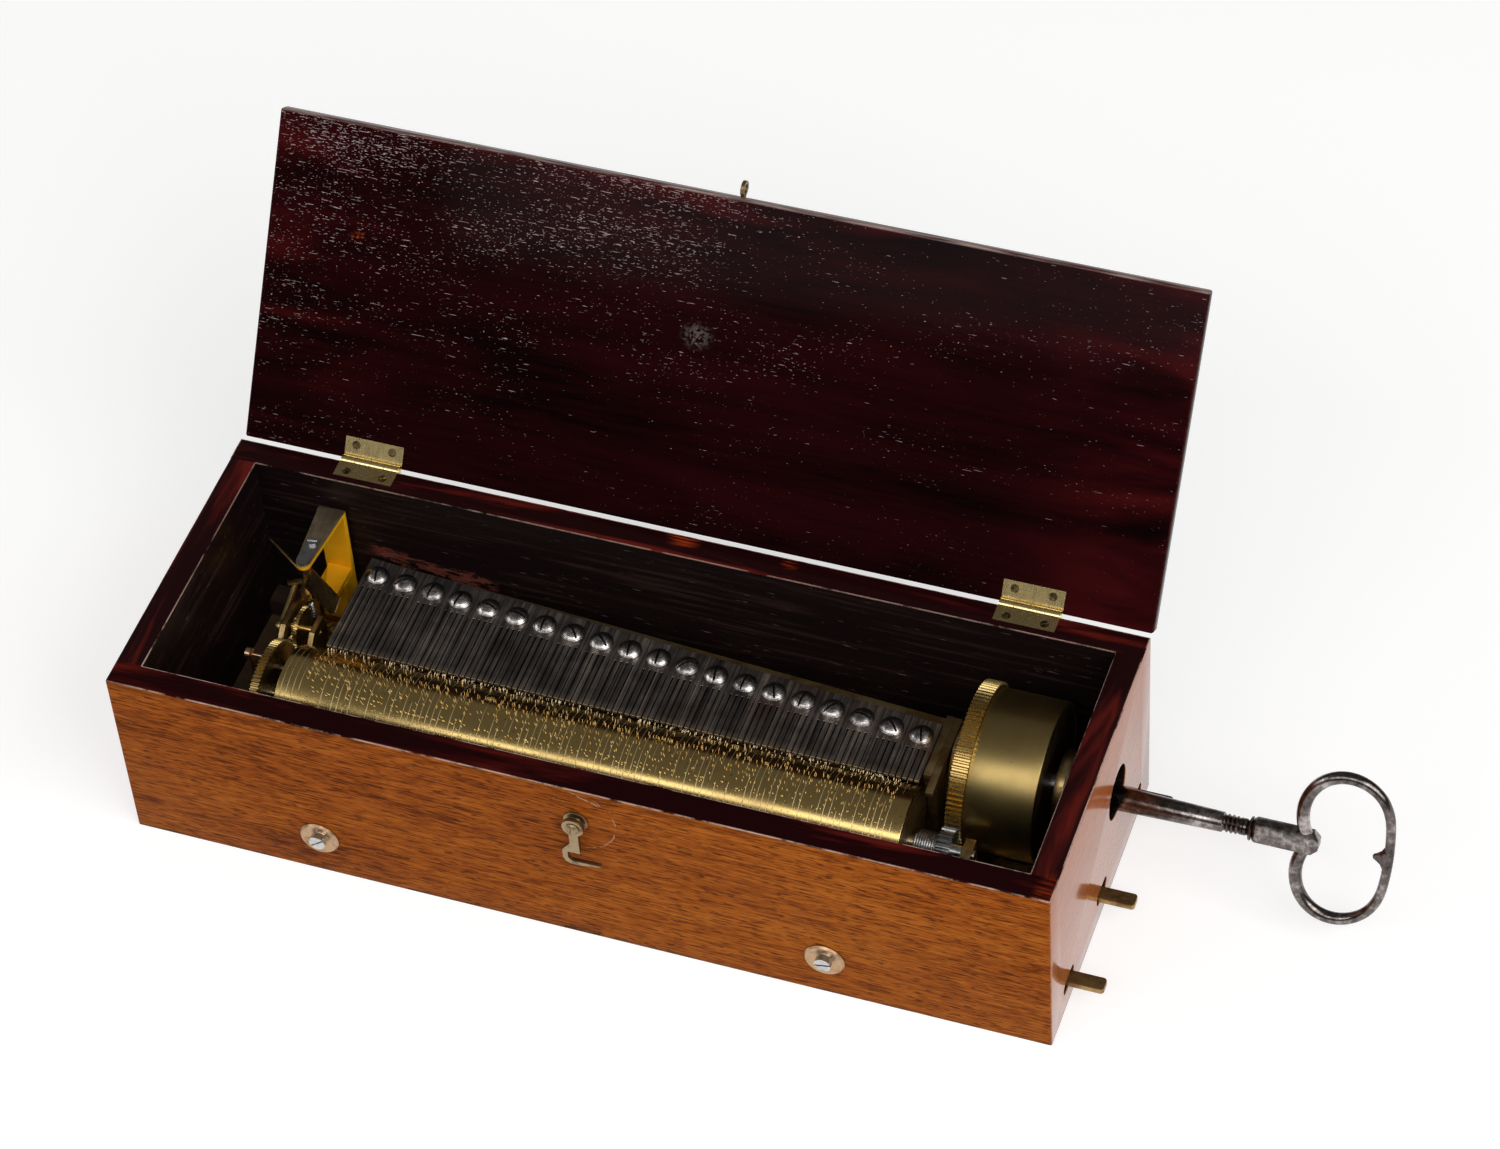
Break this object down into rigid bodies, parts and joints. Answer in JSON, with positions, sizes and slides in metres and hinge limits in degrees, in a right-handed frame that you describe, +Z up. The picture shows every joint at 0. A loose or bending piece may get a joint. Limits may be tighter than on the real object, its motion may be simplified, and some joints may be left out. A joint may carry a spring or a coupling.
{
  "type": "music box",
  "caption": "Key-wound cylinder music box: hinged wooden case, brass cylinder and spring barrel, tuned steel comb, worm-driven air brake, latch hook and control levers.",
  "frame": {"origin": "centre of the case's underside", "axes": "+X along the case towards the winding key, +Y from the front board to the hinged back, +Z up"},
  "size_m": [0.4111, 0.1904, 0.172],
  "materials": {
    "walnut_veneer": "figured brown walnut veneer, french polished",
    "end_board": "polished mahogany, glossy",
    "bottom_board": "plain softwood",
    "rail_wood": "plain hardwood",
    "lid_mahogany": "dark red polished mahogany with open pores",
    "aged_brass": "dull aged brass",
    "hinge_brass": "bright pressed brass",
    "hinge_screw_brass": "worn brass",
    "latch_brass": "worn dull brass",
    "washer_brass": "toned brass with a bright rim",
    "bright_steel": "polished steel",
    "bedplate_brass": "dull brass",
    "base_brass": "dull machined brass",
    "comb_steel": "tempered dark steel",
    "comb_screw_steel": "polished domed steel",
    "lead_weight": "dull grey lead",
    "movement_brass": "toned brass",
    "screw_steel": "polished steel screw",
    "screw_brass": "brass screw",
    "detent_copper": "copper-toned brass",
    "cylinder_brass": "scored brass with fine steel pins",
    "cylinder_cap_brass": "dull brass",
    "wheel_brass": "cut brass",
    "pinion_steel": "cut steel",
    "spring_steel": "blued grey spring steel",
    "drum_brass": "turned brass, brushed round",
    "cap_brass": "dull brass",
    "cock_brass": "toned brass with bright inner faces",
    "endstone_steel": "polished steel cap",
    "fly_brass": "thin sheet brass",
    "lever_brass": "worn brass bar",
    "key_steel": "dark pitted forged steel"
  },
  "bodies": {
    "case": {"case_front": "walnut_veneer", "case_back": "walnut_veneer", "case_left_end": "end_board", "case_right_end": "end_board", "case_bottom": "bottom_board", "movement_rails": "rail_wood", "hinge_case_leaves": "hinge_brass", "hinge_pins": "hinge_brass", "hinge_case_screws": "hinge_screw_brass", "latch_plate": "aged_brass", "latch_pivot_screw": "latch_brass", "cup_washers": "washer_brass", "bedplate_screws": "bright_steel", "bedplate": "bedplate_brass", "comb_base": "base_brass", "comb_supports": "base_brass", "comb_sections": "comb_steel", "comb_screws": "comb_screw_steel", "comb_leads": "lead_weight", "cylinder_left_bearing": "movement_brass", "cylinder_right_bearing": "movement_brass", "plate_screws": "screw_steel", "detent_pin": "detent_copper", "click_spring": "spring_steel", "click_screws": "screw_steel", "barrel_left_bridge": "movement_brass", "barrel_right_bridge": "movement_brass", "bridge_screws": "screw_brass", "governor_cock": "cock_brass", "governor_frame": "movement_brass", "endstone_cap": "endstone_steel", "stop_arm": "movement_brass", "lever_pivot_screws": "screw_steel"},
    "lid": {"lid": "lid_mahogany", "lid_eye": "aged_brass", "hinge_lid_leaves": "hinge_brass", "hinge_lid_screws": "hinge_screw_brass"},
    "latch": {"latch_hook": "latch_brass"},
    "cylinder_shaft": {"cylinder_arbor": "bright_steel", "cylinder_great_wheel": "wheel_brass", "cylinder_pinion": "pinion_steel", "cylinder_dowel": "bright_steel", "cylinder_spring": "spring_steel"},
    "cylinder": {"cylinder_tube": "cylinder_brass", "cylinder_end_caps": "cylinder_cap_brass"},
    "barrel": {"barrel_drum": "drum_brass", "barrel_great_wheel": "wheel_brass", "barrel_cap": "cap_brass", "mainspring": "spring_steel"},
    "winding_arbor": {"barrel_arbor": "bright_steel", "ratchet_wheel": "pinion_steel"},
    "key": {"winding_key": "key_steel"},
    "click": {"ratchet_click": "pinion_steel"},
    "second_wheel": {"governor_second_wheel": "wheel_brass"},
    "worm_wheel": {"governor_worm_wheel": "wheel_brass"},
    "fly": {"governor_worm": "bright_steel", "governor_fly": "fly_brass"},
    "lever_front": {"control_lever_front": "lever_brass"},
    "lever_middle": {"control_lever_middle": "lever_brass"},
    "lever_back": {"control_lever_back": "lever_brass"}
  },
  "joints": [
    {"name": "lid_hinge", "type": "hinge", "parent": "case", "child": "lid", "pos_m": [0, 0.05803, 0.07316], "axis": [1, 0, 0], "range_deg": [0, 123.3]},
    {"name": "latch_swing", "type": "hinge", "parent": "case", "child": "latch", "pos_m": [0.0027, -0.0596, 0.0596], "axis": [0, -1, 0], "range_deg": [0, 180]},
    {"name": "cylinder_turn", "type": "hinge", "parent": "case", "child": "cylinder_shaft", "pos_m": [-0.1242, -0.01701, 0.0363], "axis": [1, 0, 0], "continuous": true},
    {"name": "tune_shift", "type": "slide", "parent": "cylinder_shaft", "child": "cylinder", "axis": [1, 0, 0], "range_m": [0, 0.0012]},
    {"name": "barrel_turn", "type": "hinge", "parent": "case", "child": "barrel", "pos_m": [0.1104, 0.01805, 0.038], "axis": [1, 0, 0], "continuous": true},
    {"name": "winding_turn", "type": "hinge", "parent": "case", "child": "winding_arbor", "pos_m": [0.1448, 0.01805, 0.038], "axis": [1, 0, 0], "continuous": true},
    {"name": "key_pull", "type": "slide", "parent": "winding_arbor", "child": "key", "axis": [1, 0, 0], "range_m": [0, 0.03]},
    {"name": "click_pivot", "type": "hinge", "parent": "case", "child": "click", "pos_m": [0.1448, 0.00825, 0.0274], "axis": [1, 0, 0], "range_deg": [0, 3]},
    {"name": "second_wheel_turn", "type": "hinge", "parent": "case", "child": "second_wheel", "pos_m": [-0.1242, 0.00329, 0.02891], "axis": [1, 0, 0], "continuous": true},
    {"name": "worm_wheel_turn", "type": "hinge", "parent": "case", "child": "worm_wheel", "pos_m": [-0.1242, 0.01159, 0.03758], "axis": [1, 0, 0], "continuous": true},
    {"name": "fly_turn", "type": "hinge", "parent": "case", "child": "fly", "pos_m": [-0.1235, 0.02016, 0.03758], "axis": [0, 0, 1], "continuous": true},
    {"name": "lever_front_swing", "type": "hinge", "parent": "case", "child": "lever_front", "pos_m": [0.098, -0.0368, 0.0101], "axis": [0, 0, 1], "range_deg": [-2.5, 1.5]},
    {"name": "lever_middle_swing", "type": "hinge", "parent": "case", "child": "lever_middle", "pos_m": [0.098, -0.0013, 0.0101], "axis": [0, 0, 1], "range_deg": [-1, 3]},
    {"name": "lever_back_swing", "type": "hinge", "parent": "case", "child": "lever_back", "pos_m": [0.098, 0.0414, 0.0101], "axis": [0, 0, 1], "range_deg": [-2.5, 1.8]}
  ],
  "couplings": [
    {"joint": "barrel_turn", "follows": "cylinder_turn", "ratio": -0.25},
    {"joint": "second_wheel_turn", "follows": "cylinder_turn", "ratio": -5},
    {"joint": "worm_wheel_turn", "follows": "cylinder_turn", "ratio": 15},
    {"joint": "fly_turn", "follows": "cylinder_turn", "ratio": -540}
  ]
}
